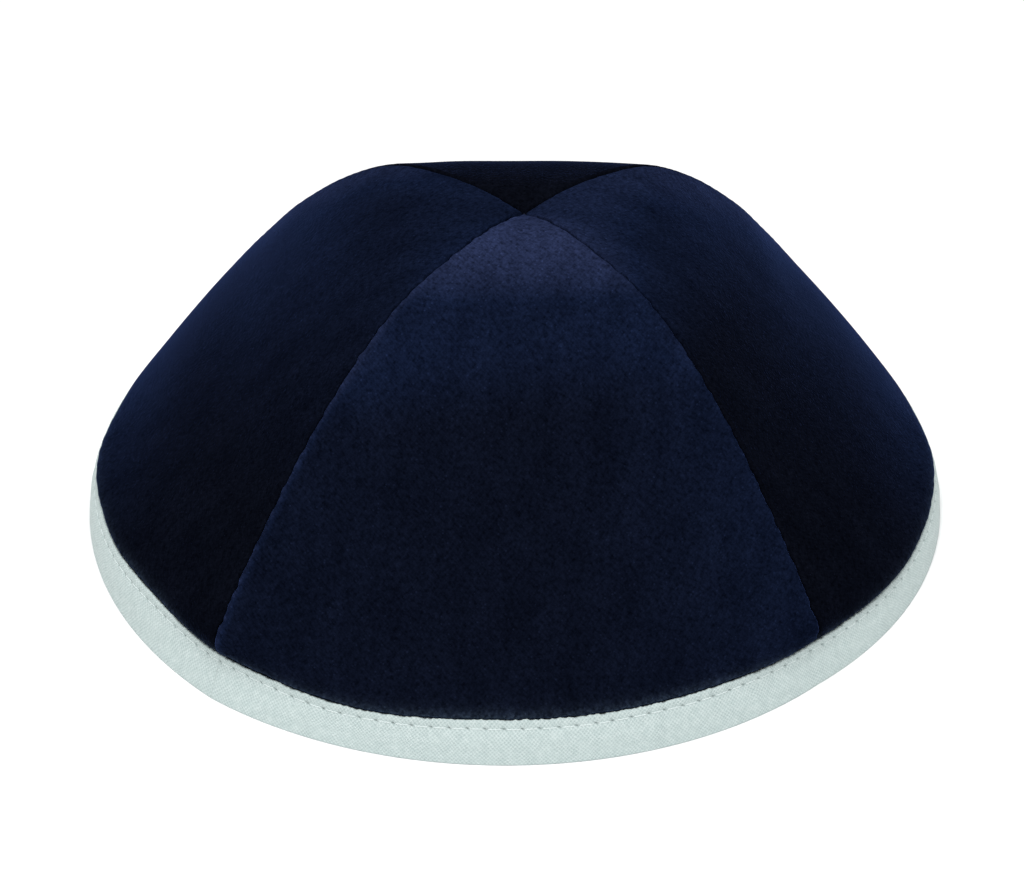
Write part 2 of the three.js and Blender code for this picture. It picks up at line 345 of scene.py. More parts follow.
def mitre_normal(panel, level, side, margin):
    """That normal held in a seam's plane and lengthened, so that two walls meet in a mitre."""
    direction, _ = seam_plan(panel.first if side < 0 else panel.second)
    normal = outward_normal(panel, level, np.full(np.shape(level), float(side)), margin)
    level_part = normal[..., :2] @ direction
    held = unit(np.concatenate([level_part[..., None] * direction, normal[..., 2:]], axis=-1))
    length = np.maximum((held * normal).sum(-1, keepdims=True), 1 / MITRE_LIMIT)
    return held / length


def wall_direction(panel, level, across, margin, half_width):
    """The way a wall's thickness runs outwards: a normal, mitred beside the seams."""
    from_seam = (1 - np.abs(across)) * half_width
    mitred = 1 - np.minimum(from_seam / np.minimum(MITRE_WIDTH, half_width), 1)
    first = mitre_normal(panel, level, -1, margin)
    second = mitre_normal(panel, level, 1, margin)
    mitre = np.where((across < 0)[..., None], first, second)
    normal = outward_normal(panel, level, across, margin)
    return normal + (mitre - normal) * mitred[..., None]


def rim_centre():
    """The middle of the rim's box, which stands over the frame's origin."""
    across = np.linspace(-1, 1, 200)[None]
    levels = level_at(np.linspace(0, BINDING_WIDTH, 9))[:, None]
    rim = np.concatenate([outside(panel, levels, across).reshape(-1, 3) for panel in PANELS])
    return np.append((rim.min(0) + rim.max(0))[:2] / 2, 0)


RIM_CENTRE = rim_centre()


def binding_edge(points):
    """Height of the binding's upper edge below or above given points, and the velvet's overhang there."""
    azimuth = np.degrees(np.arctan2(points[..., 1], points[..., 0])) % 360
    table = np.array(EDGES + [EDGES[0]._replace(azimuth=360)])
    place = np.interp(azimuth, table[:, 0], np.arange(len(table)))
    first = np.minimum(place.astype(int), len(table) - 2)
    share = smooth_step(0, 1, place - first)[..., None]
    rise, overhang = np.moveaxis(table[first] + (table[first + 1] - table[first]) * share, -1, 0)[1:]
    return BINDING_WIDTH + rise, overhang


# Meshes

def new_object(name, data):
    thing = bpy.data.objects.new(name, data)
    bpy.context.scene.collection.objects.link(thing)
    return thing


def make_piece(name, points, faces, materials, cloth=None, marks=None, outer_faces=None):
    """A smooth mesh in metres, with its flat cloth places as a map and its marks as attributes.
    The first material is on its outer faces, the second on the rest."""
    mesh = bpy.data.meshes.new(name)
    mesh.from_pydata(((points - RIM_CENTRE) * MM).tolist(), [], faces)
    mesh.polygons.foreach_set("use_smooth", np.ones(len(faces), bool))
    corners = np.zeros(len(mesh.loops), np.int32)
    mesh.loops.foreach_get("vertex_index", corners)
    if cloth is not None:
        layer = mesh.uv_layers.new(name="cloth")
        layer.uv.foreach_set("vector", (cloth[corners] * MM).astype(np.float32).ravel())
    for mark, values in (marks or {}).items():
        attribute = mesh.attributes.new(mark, "FLOAT", "POINT")
        attribute.data.foreach_set("value", values.astype(np.float32).ravel())
    for material in materials:
        mesh.materials.append(material)
    if outer_faces is not None:
        is_rest = np.arange(len(faces)) >= outer_faces
        mesh.polygons.foreach_set("material_index", is_rest.astype(np.int32))
    mesh.update()
    piece = new_object(name, mesh)
    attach(piece, "root")
    return piece


def grid_faces(ids):
    """Four-cornered faces over a grid of point numbers."""
    corners = [ids[:-1, :-1], ids[1:, :-1], ids[1:, 1:], ids[:-1, 1:]]
    return np.stack(corners, axis=-1).reshape(-1, 4).tolist()


def zipper(fine, coarse):
    """Triangles between a fine edge and a coarse one that runs beside it."""
    step = (len(fine) - 1) // (len(coarse) - 1)
    faces = []
    for block in range(len(coarse) - 1):
        for place in range(block * step, (block + 1) * step):
            faces.append((coarse[block], fine[place + 1], fine[place]))
        faces.append((coarse[block], coarse[block + 1], fine[(block + 1) * step]))
    return [tuple(int(corner) for corner in face) for face in faces]


def shell(outer, inner):
    """A closed wall between an outside grid and a coarser inside one: its points, its faces and how
    many of these are on the outside."""
    rows, columns = outer.shape[:2]
    out = np.arange(rows * columns).reshape(rows, columns)
    into = out.size + np.arange(inner.shape[0] * inner.shape[1]).reshape(inner.shape[:2])
    faces = grid_faces(out)
    outer_faces = len(faces)
    faces += [face[::-1] for face in grid_faces(into)]
    faces += zipper(out[:, 0], into[:, 0])
    faces += zipper(out[-1], into[-1])
    faces += [face[::-1] for face in zipper(out[:, -1], into[:, -1])]
    faces += [face[::-1] for face in zipper(out[0], into[0])]
    return np.concatenate([outer.reshape(-1, 3), inner.reshape(-1, 3)]), faces, outer_faces


# Velvet panels

def seam_run(name, level):
    """Distances along a seam from the crown, one for each level."""
    reach, height, _ = profile(level)
    return distance_along(np.concatenate([edge_points(name, reach, 0.0), height[:, None]], axis=-1))


def seam_wave(name, run, height):
    """Sideways steps of a seam that is sewn a little unevenly, round a blunt tip and out at its foot."""
    seam = SEAMS[name]
    direction, _ = seam_plan(name)
    side = np.array([-direction[1], direction[0], 0])
    seed = SEAM_SEED + list(SEAMS).index(name)
    uneven = SEAM_WAVE * seam.pucker * wobble(run, 2 * PUCKER_PITCH, seed)
    tip = seam.tip * (1 - smooth_step(*TIP_FADE, run))
    wave = smooth_step(0, SEAM_START, run) * (seam.lean + uneven + tip)
    foot = smooth_step(*FOOT_START, height) * (1 - smooth_step(*FOOT_SWING, height))
    return (wave + seam.spread * foot)[..., None] * side


def stitch_pull(name, run):
    """How hard a seam is pulled in along its run, from 0 between its stitches to 1."""
    seed = PULL_SEED + 2 * list(SEAMS).index(name)
    stitch = run + PUCKER_PITCH * PUCKER_STRAY * wobble(run, PUCKER_STRAY_WAVE, seed)
    pucker = 0.5 - 0.5 * np.cos(2 * np.pi * stitch / PUCKER_PITCH)
    change = 1 - PULL_CHANGE + PULL_CHANGE * wobble(run, PULL_CHANGE_WAVE, seed + 1)
    return SEAMS[name].pucker * pucker * change


def seam_fall(panel, name, run, from_seam):
    """How far the velvet falls in towards a seam: rolled, and pulled in by each stitch."""
    width = UPPER_ROLL_WIDTH if SEAMS[name].over == panel.node else LOWER_ROLL_WIDTH
    roll = np.clip(1 - from_seam / width, 0, 1)
    fall = ROLL_DEPTH * (1 - np.sqrt(1 - roll**2))
    return fall + PUCKER_DEPTH * stitch_pull(name, run) * np.exp(-from_seam / PUCKER_WIDTH)


def velvet_inset(points, fall, from_seam, seed):
    """How far the velvet lies inside the outline: fallen in at the seams, uneven, pressed in the binding.
    Also its height above the binding's edge."""
    free = fall + WAVE_DEPTH * smooth_step(0, WAVE_MARGIN, from_seam) * swell(points, WAVE_LENGTH, seed)
    height, overhang = binding_edge(points)
    rise = points[..., 2] - height - LIP_FRAY * swell(points, LIP_FRAY_WAVE, seed + 1)
    free = free - overhang * np.exp(-(((rise - OVERHANG_RISE) / OVERHANG_HEIGHT) ** 2))
    pressed = 1 - np.sqrt(smooth_step(-LIP_DROP, LIP_HEIGHT, rise))
    return free + (TAPE_WALL + CLEARANCE - free) * pressed, rise


def painted_pile_light(panel, height, across, from_seam, pull):
    """Painted light and shade of the pile, from 0 to 1."""
    painted_light = PAINTED_LIGHTS[panel.node]
    is_first = across < 0
    # Painted light rising towards the crown, with painted light or shade towards the seams
    low = 1 - smooth_step(*SIDES_FADE, height)
    side = np.where(is_first, painted_light.first, painted_light.second) * across**2 * low
    climb = painted_light.climb * smooth_step(painted_light.start, painted_light.end, height - painted_light.tilt * across)
    body = (painted_light.foot + climb) * (1 + side)
    # Painted sheen towards one seam, stronger near the binding
    turned = smooth_step(-TURN_WIDTH, TURN_WIDTH, across * np.sign(painted_light.turn))
    hem_sheen = 1 + HEM_SHEEN * (1 - smooth_step(*HEM_FADE, height))
    turn = abs(painted_light.turn) * turned * hem_sheen * low
    # Painted light on the level crown
    level = smooth_step(*CROWN_START, height)
    crown_side = np.where(is_first, painted_light.crown_first, painted_light.crown_second) * across**2
    crown = painted_light.crown * level * (1 + crown_side)
    # Painted highlight in the narrow folds beside the seams, with painted shade at each stitch
    light = np.where(is_first, painted_light.first_light, painted_light.second_light) * (1 - level)
    width = np.where(is_first, SEAMS[panel.first].light, SEAMS[panel.second].light)
    fold = light * (FOLD_HIGHLIGHT - STITCH_SHADE * pull) * np.exp(-((from_seam / width) ** 2))
    return np.clip(body + turn + crown + fold, 0, 1)


def panel_rows():
    """Levels of a panel's rows, from the crown down to the hem inside the binding."""
    return np.concatenate([
        np.linspace(FIRST_LEVEL, level_at(SKIRT_TOP), CROWN_ROWS),
        level_at(np.linspace(SKIRT_TOP, SKIRT_LOW, SKIRT_ROWS + 1)[1:]),
        level_at(np.linspace(SKIRT_LOW, HEM_HEIGHT, HEM_ROWS + 1)[1:]),
    ])


def velvet_panel(panel, materials, seed):
    """One gore of velvet, rolled in and puckered along its seams, with its hem inside the binding."""
    rows = panel_rows()
    even = np.linspace(-1, 1, PANEL_COLUMNS)
    columns = even + EDGE_CROWDING * np.sin(np.pi * even) / np.pi
    level, across = np.meshgrid(rows, columns, indexing="ij")
    margin = SEAM_GAP / 2
    points = outside(panel, level, across, margin)
    half_width = np.linalg.norm(points[:, -1] - points[:, 0], axis=-1)[:, None] / 2
    thickness = wall_direction(panel, level, across, margin, half_width)
    from_seam = (1 - np.abs(across)) * half_width
    near_seam = np.abs(across) * np.exp(-from_seam / PUCKER_WIDTH)
    is_first = across < 0
    height = profile(rows)[1][:, None]
    seams = [(name, seam_run(name, rows)[:, None]) for name in (panel.first, panel.second)]
    pull = np.where(is_first, *(stitch_pull(name, run) for name, run in seams))
    fall = np.where(is_first, *(seam_fall(panel, name, run, from_seam) for name, run in seams))
    wave = np.where(is_first[..., None], *(seam_wave(name, run, height) for name, run in seams))
    inset, rise = velvet_inset(points, fall, from_seam, seed)
    points = points + wave * near_seam[..., None]
    outer = points - thickness * inset[..., None]
    every = (slice(None, None, INNER_STEP),) * 2
    inner = (points - thickness * PANEL_WALL)[every]
    along = distance_along(points[:, PANEL_COLUMNS // 2])
    flat = np.stack([across * half_width, np.broadcast_to(along[:, None], across.shape)], axis=-1)
    # Painted light and shade of the pile, and where the painted sheen on its tips shows above the binding
    marks = {
        "painted_light": painted_pile_light(panel, points[..., 2], across, from_seam, pull * near_seam),
        "fuzz_sheen": np.exp(-np.maximum(rise, 0) / FUZZ_SHEEN_HEIGHT),
    }
    marks = {mark: np.concatenate([grid.ravel(), grid[every].ravel()]) for mark, grid in marks.items()}
    cloth = np.concatenate([flat.reshape(-1, 2), flat[every].reshape(-1, 2)])
    wall, faces, outer_faces = shell(outer, inner)
    piece = make_piece(panel.piece, wall, faces, materials, cloth, marks, outer_faces)
    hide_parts(panel.node)
    return piece


# Binding

def rim_points(turn, height):
    """Outline points and level outward directions at turns round the rim, a whole number at each seam."""
    turn, height = (grid.ravel() for grid in np.broadcast_arrays(turn % len(PANELS), height))
    level = level_at(height)
    points = np.zeros((turn.size, 3))
    outwards = np.zeros((turn.size, 3))
    for index, panel in enumerate(PANELS):
        here = turn.astype(int) == index
        across = (turn[here] - index) * 2 - 1
        first, second = outside(panel, level[here], -1.0), outside(panel, level[here], 1.0)
        half_width = np.linalg.norm(second - first, axis=-1) / 2
        points[here] = outside(panel, level[here], across)
        outwards[here] = wall_direction(panel, level[here], across, 0.0, half_width)
    return points, outwards


def rim_measure():
    """Turns round the rim at the row of stitches, and the tape's length up to each."""
    turn = np.linspace(0, len(PANELS), 4001)
    line, _ = rim_points(turn, STITCH_HEIGHT)
    return turn, distance_along(line)


def turn_at(distance):
    """Turns round the rim at distances along the tape."""
    turns, lengths = rim_measure()
    return np.interp(distance % lengths[-1], lengths, turns)


def sewn_height(turn, height):
    """A height on the even tape moved to where the tape is sewn, higher or lower at its upper edge."""
    line, _ = rim_points(turn, BINDING_WIDTH)
    rise = (binding_edge(line)[0] - BINDING_WIDTH).reshape(np.shape(turn))
    return height + rise * smooth_step(SEWN_MARGIN, BINDING_WIDTH - SEWN_MARGIN, height)


def stitch_places():
    """Distances along the tape of the needle's holes, not quite even."""
    length = rim_measure()[1][-1]
    count = round(length / STITCH_PITCH)
    random = np.random.default_rng(HOLE_SEED)
    return (np.arange(count) + random.uniform(-HOLE_STRAY, HOLE_STRAY, count)) * length / count


def along_stitches(share):
    """Distances along the tape at shares of the way from each hole to the next."""
    holes = stitch_places()
    ends = np.append(holes[1:], holes[0] + rim_measure()[1][-1])
    return holes[:, None] + (ends - holes)[:, None] * share


def stitch_height(distance):
    """Heights of the row of stitches on the even tape."""
    return STITCH_HEIGHT + ROW_STRAY * wobble(distance, ROW_STRAY_WAVE, ROW_SEED)


def arc(centre, radius, start, end, count):
    """Points on an arc, from one angle in degrees to another."""
    angle = np.radians(np.linspace(start, end, count))
    return np.stack([centre[0] + radius * np.cos(angle), centre[1] + radius * np.sin(angle)], axis=-1)


def tape_leg(fine_rows, body_count, arc_count):
    """Inset and height down one leg of the tape: over its edge, past its stitches and round under
    the rim."""
    over = arc((EDGE_RADIUS, BINDING_WIDTH - EDGE_RADIUS), EDGE_RADIUS, *EDGE_ARC, arc_count)
    body = np.linspace(STITCH_HEIGHT - BODY_DROP, FOLD_RADIUS, body_count)
    heights = np.concatenate([STITCH_HEIGHT + np.array(fine_rows), body])
    face = np.stack([np.zeros(len(heights)), heights], axis=-1)
    under = arc((FOLD_RADIUS, FOLD_RADIUS), FOLD_RADIUS, *FOLD_ARC, arc_count)
    return np.concatenate([over, face, under])


def tape_section():
    """Inset and height round the tape's section: down the outer leg, under the rim and up the inner leg,
    then back through the channel that holds the velvet's hem. Also how many points each leg has."""
    outer = tape_leg(OUTER_ROWS, body_count=7, arc_count=4)
    inner = tape_leg(INNER_ROWS, body_count=3, arc_count=3)
    across = np.array([RIM_WALL, 0])
    flip = np.array([-1, 1])
    edge = BINDING_WIDTH - EDGE_RADIUS
    channel = np.array([[TAPE_WALL, TAPE_WALL], [TAPE_WALL, edge]])
    section = np.concatenate([outer, across + inner[::-1] * flip, across + channel[::-1] * flip, channel])
    return section, len(outer), len(inner)


def tape_face(distance, height):
    """How far the tape's face is pulled in at a place, and how near a needle hole the place is."""
    stitch = stitch_height(distance)
    length = rim_measure()[1][-1]
    gap = (distance[..., None] - stitch_places() + length / 2) % length - length / 2
    nearest = np.take_along_axis(gap, np.abs(gap).argmin(-1)[..., None], axis=-1)[..., 0]
    rise = height - stitch
    groove = GROOVE_DEPTH * np.exp(-((rise / GROOVE_WIDTH) ** 2))
    body = np.clip((height - FOLD_RADIUS) / (stitch - FOLD_RADIUS), 0, 1)
    fullness = PUFF_SHARE + PUFF_CHANGE * wobble(distance, PUFF_CHANGE_WAVE, PUFF_SEED)
    puff = TAPE_PUFF * np.sin(np.pi * body) ** PUFF_POWER * fullness
    hole = np.exp(-((nearest / HOLE_LENGTH) ** 2) - ((rise + HOLE_SLANT * nearest) / HOLE_WIDTH) ** 2)
    dimple = DIMPLE_DEPTH * np.exp(-((nearest / DIMPLE_LENGTH) ** 2) - (rise / DIMPLE_WIDTH) ** 2)
    return groove + dimple - puff + HOLE_DEPTH * hole, hole


def edge_teeth(count):
    """Fine steps up and down of the tape's upper edge, one for each station."""
    teeth = np.random.default_rng(TEETH_SEED).normal(size=count)
    return EDGE_TEETH * (np.roll(teeth, 1) + 2 * teeth + np.roll(teeth, -1)) / 4


def binding(material):
    """The folded tape all round the rim, pulled in along its stitches, with needle holes."""
    section, outer_count, inner_count = tape_section()
    distance = along_stitches(np.arange(STATIONS_PER_STITCH) / STATIONS_PER_STITCH).ravel()
    place, height = np.meshgrid(distance, section[:, 1], indexing="ij")
    turn, inset = np.meshgrid(turn_at(distance), section[:, 0], indexing="ij")
    sewn = sewn_height(turn, height)
    points, outwards = (grid.reshape(*place.shape, 3) for grid in rim_points(turn, sewn))
    pulled, hole = tape_face(place, height)
    number = np.arange(len(section))
    is_outer = number < outer_count
    is_inner = (number >= outer_count) & (number < outer_count + inner_count)
    lip = smooth_step(BINDING_WIDTH - 2 * EDGE_RADIUS, BINDING_WIDTH, height)
    full = smooth_step(FOLD_FLAT, FOLD_RADIUS, height) * (1 - lip)
    inset = inset + np.where(is_outer, pulled, np.where(is_inner, -pulled, 0)) * full
    points = points - outwards * inset[..., None]
    wave = EDGE_WAVE * wobble(place, EDGE_WAVE_LENGTH, EDGE_SEED) + edge_teeth(len(distance))[:, None]
    points[..., 2] = sewn + wave * lip * (is_outer | is_inner)
    cloth = np.stack([place, np.broadcast_to(distance_along(section), place.shape)], axis=-1)
    stations, count = place.shape
    ids = np.arange(stations * count).reshape(stations, count)
    ids = np.vstack([ids, ids[:1]])
    ids = np.hstack([ids, ids[:, :1]])
    faces = [face[::-1] for face in grid_faces(ids)]
    # Where the needle holes get their painted shade
    marks = {"hole": np.where(is_outer | is_inner, hole, 0)}
    piece = make_piece(
        "binding_tape", points.reshape(-1, 3), faces, [material], cloth.reshape(-1, 2), marks)
    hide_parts("rim_binding")
    return piece


def stitch_row(name, inside, material):
    """One row of the binding's stitches, each a short thread that dips into its two holes."""
    share = np.linspace(THREAD_START, 1 - THREAD_START, THREAD_STOPS)
    distance = along_stitches(share)
    turn = turn_at(distance)
    height = sewn_height(turn, stitch_height(distance))
    points, outwards = (grid.reshape(*distance.shape, 3) for grid in rim_points(turn, height))
    bend = (np.abs(share - 0.5) / (0.5 - THREAD_START)) ** THREAD_BEND
    lift = -THREAD_RADIUS * (THREAD_SINK + THREAD_DIP * bend) - GROOVE_DEPTH
    inset = RIM_WALL + lift if inside else -lift
    points = points - outwards * np.broadcast_to(inset, distance.shape)[..., None]
    points[..., 2] = height
    along = unit(np.gradient(points, axis=1))
    up = unit(np.cross(along, outwards))
    side = np.cross(up, along)
    angle = np.linspace(0, 2 * np.pi, THREAD_SIDES, endpoint=False)
    thin = THREAD_RADIUS * (1 - THREAD_THINNING * bend)
    ring = np.cos(angle)[:, None] * side[:, :, None] + np.sin(angle)[:, None] * up[:, :, None]
    tube = points[:, :, None] + thin[:, None, None] * ring
    faces = []
    for stitch in range(len(distance)):
        stops = stitch * THREAD_STOPS + np.arange(THREAD_STOPS)
        ids = stops[:, None] * THREAD_SIDES + np.arange(THREAD_SIDES)
        faces += grid_faces(np.hstack([ids, ids[:, :1]]))
        faces.append(ids[0].tolist())
        faces.append(ids[-1][::-1].tolist())
    piece = make_piece(name, tube.reshape(-1, 3), faces, [material])
    return piece


# Materials

# The velvet's colours from its dark ground through its middle to its full painted light, and the pale
# painted sheen on its tips
VELVET_GROUND = (0.0019, 0.0022, 0.0037, 1)
VELVET_MIDDLE = (0.0041, 0.0073, 0.0211, 1)
VELVET_PAINTED_LIGHT = (0.0157, 0.0222, 0.057, 1)
VELVET_FUZZ_SHEEN = (0.05, 0.074, 0.115, 1)
VELVET_SHEEN = (0.2, 0.34, 1.0, 1)
BACKING_DARK, BACKING_LIGHT = (0.006, 0.008, 0.018, 1), (0.012, 0.016, 0.034, 1)
TAPE_DARK, TAPE_LIGHT = (0.508, 0.602, 0.592, 1), (0.635, 0.721, 0.709, 1)
TAPE_GAP_SHADE = (0.397, 0.485, 0.48, 1)  # painted shade between the threads of its weave
# Painted shade in the needle holes
TAPE_HOLE_SHADE = (0.16, 0.2, 0.2, 1)
THREAD_DARK, THREAD_LIGHT = (0.55, 0.63, 0.625, 1), (0.67, 0.745, 0.74, 1)
FLOOR_DARK, FLOOR_LIGHT = (0.9, 0.9, 0.9, 1), (0.92, 0.92, 0.92, 1)
MIDDLE_PAINTED_LIGHT = 0.3  # where the pile's painted light gives it its middle colour

# What the pile's speckle is made up of: its least light and what each kind of mark adds to it
LEAST_SPECKLE = 0.26
ROW_SPECKLE = 0.45
CROSS_SPECKLE = 0.35
CLUMP_SPECKLE = 0.5
TUFT_SPECKLE = 0.2
GLINT_SPECKLE = 5.0  # times the tuft's own, on the few tufts that glint
GLINT_CHANCE = 0.96  # share of the tufts that don't
BRUSHED = (0.78, 1.22)  # shares of the light where the pile is brushed away and towards it

# Noise: its waves in a metre, and the values that most of it lies between
FUZZ_SHEEN_WAVES = 1500
BACKING_WAVES = 1800
BEND_WAVES = 260
SLUB_WAVES = 900
GAP_WAVES = 420
TWIST_WAVES = 5200
FLOOR_WAVES = 9.0
NOISE_RANGE = (0.3, 0.7)
NARROW_RANGE = (0.35, 0.65)


class Nodes:
    """A material's nodes, made one call each."""

    def __init__(self, name):
        self.material = bpy.data.materials.new(name)
        self.material.use_nodes = True
        self.tree = self.material.node_tree
        self.shader = self.tree.nodes["Principled BSDF"]

    def add(self, kind, values=None, **settings):
        node = self.tree.nodes.new(kind)
        for setting, value in settings.items():
            setattr(node, setting, value)
        for socket, value in (values or {}).items():
            self.put(node.inputs[socket], value)
        return node

    def put(self, socket, value):
        if isinstance(value, bpy.types.NodeSocket):
            self.tree.links.new(value, socket)
        else:
            socket.default_value = value

    def math(self, operation, *values):
        return self.add("ShaderNodeMath", dict(enumerate(values)), operation=operation).outputs[0]

    def total(self, first, *others):
        for other in others:
            first = self.math("ADD", first, other)
        return first

    def flat_place(self):
        return self.add("ShaderNodeUVMap", uv_map="cloth").outputs[0]

    def solid_place(self):
        return self.add("ShaderNodeTexCoord").outputs["Object"]

    def mark(self, name):
        return self.add("ShaderNodeAttribute", attribute_name=name).outputs["Fac"]

    def stretch(self, place, first, second):
        """A flat place measured in two sizes in millimetres."""
        scale = (1 / (first * MM), 1 / (second * MM), 1)
        return self.add("ShaderNodeVectorMath", {0: place, 1: scale}, operation="MULTIPLY").outputs[0]

    def noise(self, place, scale, detail=2.0, rough=0.5):
        values = {"Vector": place, "Scale": scale, "Detail": detail, "Roughness": rough}
        return self.add("ShaderNodeTexNoise", values).outputs["Fac"]

    def blend(self, share, first, second, how="MIX"):
        node = self.add("ShaderNodeMix", data_type="RGBA", blend_type=how)
        for socket, value in zip((0, 6, 7), (share, first, second)):
            self.put(node.inputs[socket], value)
        return node.outputs[2]

    def remap(self, value, low, high, new_low=0.0, new_high=1.0):
        values = {0: value, 1: low, 2: high, 3: new_low, 4: new_high}
        return self.add("ShaderNodeMapRange", values).outputs[0]

    def bump(self, height, strength, depth):
        values = {"Strength": strength, "Distance": depth * MM, "Height": height}
        return self.add("ShaderNodeBump", values).outputs[0]

    def finish(self, **sockets):
        for socket, value in sockets.items():
            self.put(self.shader.inputs[socket.replace("_", " ")], value)
        return self.material


def streaks(nodes, flat, heading):
    """Short streaks from 0 to 1 that run along a heading on the cloth, in degrees."""
    values = {"Vector": flat, "Angle": -math.radians(heading)}
    turned = nodes.add("ShaderNodeVectorRotate", values, rotation_type="Z_AXIS").outputs[0]
    place = nodes.stretch(turned, STREAK_LENGTH, STREAK_PITCH)
    return nodes.remap(nodes.noise(place, 1.0, 1.0), *NOISE_RANGE)


def pile_speckle(nodes, flat, place):
    """The light of single tufts, their rows and clumps, and of the patches where they are brushed."""
    tufts = nodes.add(
        "ShaderNodeTexVoronoi",
        {"Vector": flat, "Scale": 1 / (TUFT_PITCH * MM), "Randomness": 0.8},
        voronoi_dimensions="2D")
    tip = nodes.remap(tufts.outputs["Distance"], 0.1, 0.62, TUFT_SPECKLE, 0.0)
    chance = nodes.add("ShaderNodeSeparateXYZ", {0: tufts.outputs["Color"]}).outputs[0]
    glint = nodes.math("MULTIPLY", tip, GLINT_SPECKLE)
    glint = nodes.math("MULTIPLY", nodes.remap(chance, GLINT_CHANCE, 1.0), glint)
    rows = nodes.math("MULTIPLY", streaks(nodes, flat, ROW_HEADING), ROW_SPECKLE)
    cross_rows = nodes.math("MULTIPLY", streaks(nodes, flat, CROSS_HEADING), CROSS_SPECKLE)
    clumps = nodes.noise(place, 1 / (CLUMP_SIZE * MM), 2.0, 0.6)
    clumps = nodes.remap(clumps, *NOISE_RANGE, 0.0, CLUMP_SPECKLE)
    patches = nodes.noise(nodes.stretch(flat, *PATCH_SIZE), 1.0, 3.0, 0.6)
    brushed = nodes.remap(patches, *NOISE_RANGE, *BRUSHED)
    speckle = nodes.total(rows, cross_rows, tip, glint, clumps, LEAST_SPECKLE)
    return nodes.math("MULTIPLY", speckle, brushed)


def velvet_material():
    """Navy velvet: a nearly black ground under rows of blue tufts, mixed with the pile's painted light
    and shade, and with a pale painted sheen on the pile's tips just above the binding."""
    nodes = Nodes("navy_velvet")
    flat = nodes.flat_place()
    place = nodes.solid_place()
    painted_light = nodes.mark("painted_light")
    color = nodes.blend(nodes.remap(painted_light, 0.0, MIDDLE_PAINTED_LIGHT), VELVET_GROUND, VELVET_MIDDLE)
    color = nodes.blend(nodes.remap(painted_light, MIDDLE_PAINTED_LIGHT, 1.0), color, VELVET_PAINTED_LIGHT)
    # Painted sheen: the pile's tips paler just above the binding, unevenly
    uneven = nodes.remap(nodes.noise(place, FUZZ_SHEEN_WAVES, 1.0), *NARROW_RANGE, 0.35, 1.0)
    fuzz_sheen_share = nodes.math("MULTIPLY", nodes.mark("fuzz_sheen"), uneven)
    color = nodes.blend(fuzz_sheen_share, color, VELVET_FUZZ_SHEEN)
    color = nodes.blend(1.0, color, pile_speckle(nodes, flat, place), "MULTIPLY")
    grain = nodes.noise(place, 1 / (GRAIN_SIZE * MM), 1.0, 0.6)
    return nodes.finish(
        Base_Color=color, Roughness=0.95, Specular_IOR_Level=0.0, Sheen_Weight=0.165,
        Sheen_Roughness=0.22, Sheen_Tint=VELVET_SHEEN, Normal=nodes.bump(grain, 0.5, GRAIN_DEPTH))


def backing_material():
    """The velvet's plain woven back."""
    nodes = Nodes("navy_backing")
    weave = nodes.noise(nodes.solid_place(), BACKING_WAVES, 2.0)
    color = nodes.blend(weave, BACKING_DARK, BACKING_LIGHT)
    return nodes.finish(Base_Color=color, Roughness=0.95, Specular_IOR_Level=0.1)


def bias_weave(nodes, flat, parts):
    """Height of a plain weave whose threads run at 45 degrees to the tape, from 0 to 1."""
    turn = 1 / (math.sqrt(2) * WEAVE_PITCH * MM)
    bend = nodes.noise(flat, BEND_WAVES, 3.0)
    sway = nodes.math("MULTIPLY", nodes.math("SUBTRACT", bend, 0.5), 2.0)
    waves = []
    for operation in ("ADD", "SUBTRACT"):
        run = nodes.math("MULTIPLY", nodes.math(operation, parts[0], parts[1]), turn)
        run = nodes.math("ADD", run, sway)
        waves.append(nodes.math("SINE", nodes.math("MULTIPLY", run, math.pi)))
    over = nodes.math("MULTIPLY", nodes.math("MULTIPLY", *waves), 0.3)
    tops = []
    for operation, wave in zip(("ADD", "SUBTRACT"), waves):
        rise = nodes.math(operation, 0.7, over)
        tops.append(nodes.math("MULTIPLY", nodes.math("ABSOLUTE", wave), rise))
    return nodes.math("MAXIMUM", *tops)


def tape_material():
    """Pale cotton cut on the bias, with uneven threads, painted shade in the gaps between them and in the
    needle holes, and painted shade along its upper edge.
    """
    nodes = Nodes("mint_bias_tape")
    flat = nodes.flat_place()
    parts = nodes.add("ShaderNodeSeparateXYZ", {0: flat}).outputs
    weave = bias_weave(nodes, flat, parts)
    slub = nodes.noise(flat, SLUB_WAVES, 3.0, 0.6)
    height = nodes.math("ADD", weave, nodes.math("MULTIPLY", slub, 0.35))
    color = nodes.blend(nodes.remap(slub, *NOISE_RANGE), TAPE_DARK, TAPE_LIGHT)
    # Painted shade in the gaps where the weave lies low
    clear = nodes.remap(nodes.noise(flat, GAP_WAVES, 2.0), *NOISE_RANGE, 0.5, 1.0)
    gap = nodes.math("MULTIPLY", nodes.remap(weave, 0.3, 0.85, 1.0, 0.0), clear)
    color = nodes.blend(gap, color, TAPE_GAP_SHADE)
    # Painted shade: darker along the strip from the tape's outer upper edge down past its stitches
    edge = nodes.remap(parts[1], 0.4 * MM, 3.5 * MM, 0.88, 1.0)
    color = nodes.blend(1.0, color, edge, "MULTIPLY")
    # Painted shade in the needle holes
    hole = nodes.math("MULTIPLY", nodes.mark("hole"), 0.66)
    color = nodes.blend(hole, color, TAPE_HOLE_SHADE)
    return nodes.finish(
        Base_Color=color, Roughness=0.88, Specular_IOR_Level=0.2, Sheen_Weight=0.1,
        Sheen_Roughness=0.5, Normal=nodes.bump(height, 0.6, 0.1))


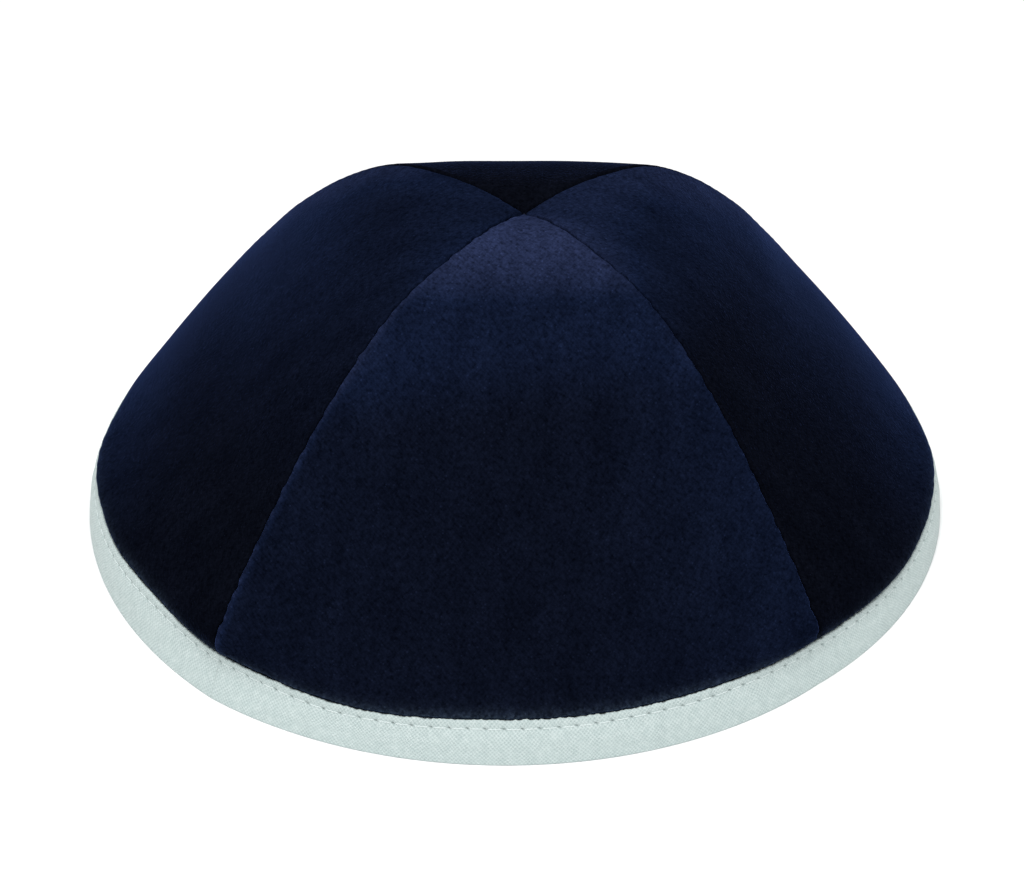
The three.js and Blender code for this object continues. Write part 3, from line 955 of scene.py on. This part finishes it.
def thread_material():
    """Pale sewing thread with a fine twist."""
    nodes = Nodes("mint_thread")
    twist = nodes.noise(nodes.solid_place(), TWIST_WAVES, 2.0, 0.5)
    color = nodes.blend(nodes.remap(twist, *NARROW_RANGE), THREAD_DARK, THREAD_LIGHT)
    return nodes.finish(
        Base_Color=color, Roughness=0.6, Specular_IOR_Level=0.3, Normal=nodes.bump(twist, 0.4, 0.06))


def floor_material():
    nodes = Nodes("pale_floor")
    color = nodes.blend(nodes.noise(nodes.solid_place(), FLOOR_WAVES), FLOOR_DARK, FLOOR_LIGHT)
    return nodes.finish(Base_Color=color, Roughness=0.9, Specular_IOR_Level=0.1)


# Stage, in metres and degrees

CAMERA_AIM = Vector((-0.0009, 0.00112, 0.01371))
CAMERA_DISTANCE = 1.0
CAMERA_ELEVATION = 33.89
CAMERA_ROLL = -0.905
CAMERA_LENS = 185.7  # millimetres, as is the sensor
SENSOR_WIDTH = 36
FLOOR_REACH = 3.0
SKY_STRENGTH = 0.45
LIGHT_TARGET = Vector((0, 0, 0.03))
Light = namedtuple("Light", "name place size power")
LIGHTS = [
    Light("top_light", (-0.04, -0.15, 1.1), 0.9, 12),
    Light("front_light", (-0.12, -1.3, 0.6), 0.8, 3.3),
]


def camera():
    data = bpy.data.cameras.new("camera")
    data.sensor_fit = "HORIZONTAL"
    data.sensor_width = SENSOR_WIDTH
    data.lens = CAMERA_LENS
    thing = new_object("camera", data)
    tilt = math.radians(CAMERA_ELEVATION)
    back = Vector((0, -math.cos(tilt), math.sin(tilt)))
    turn = Matrix.Rotation(math.radians(-CAMERA_ROLL), 4, back)
    look = (-back).to_track_quat("-Z", "Y").to_matrix().to_4x4()
    thing.matrix_world = Matrix.Translation(CAMERA_AIM + back * CAMERA_DISTANCE) @ turn @ look
    bpy.context.scene.camera = thing


def area_light(light):
    data = bpy.data.lights.new(light.name, "AREA")
    data.shape = "DISK"
    data.size = light.size
    data.energy = light.power
    thing = new_object(light.name, data)
    thing.location = light.place
    thing.rotation_euler = (LIGHT_TARGET - Vector(light.place)).to_track_quat("-Z", "Y").to_euler()


def stage():
    """A plain pale floor, an even white sky and two soft lights."""
    mesh = bpy.data.meshes.new("floor")
    signs = ((-1, -1), (1, -1), (1, 1), (-1, 1))
    corners = [(x * FLOOR_REACH, y * FLOOR_REACH, 0) for x, y in signs]
    mesh.from_pydata(corners, [], [(0, 1, 2, 3)])
    mesh.materials.append(floor_material())
    floor = new_object("floor", mesh)
    world = bpy.data.worlds.new("studio")
    world.use_nodes = True
    sky = world.node_tree.nodes["Background"].inputs
    sky["Color"].default_value = (1, 1, 1, 1)
    sky["Strength"].default_value = SKY_STRENGTH
    bpy.context.scene.world = world
    for light in LIGHTS:
        area_light(light)
    bpy.context.scene.view_settings.view_transform = "Standard"


camera()
stage()
velvet = [velvet_material(), backing_material()]
tape = tape_material()
thread = thread_material()
gores = [
    velvet_panel(panel, velvet, PANEL_SEED + PANEL_SEED_STEP * number)
    for number, panel in enumerate(PANELS)
]
strip = binding(tape)
stitches = [
    stitch_row("stitches_outside", False, thread),
    stitch_row("stitches_inside", True, thread),
]
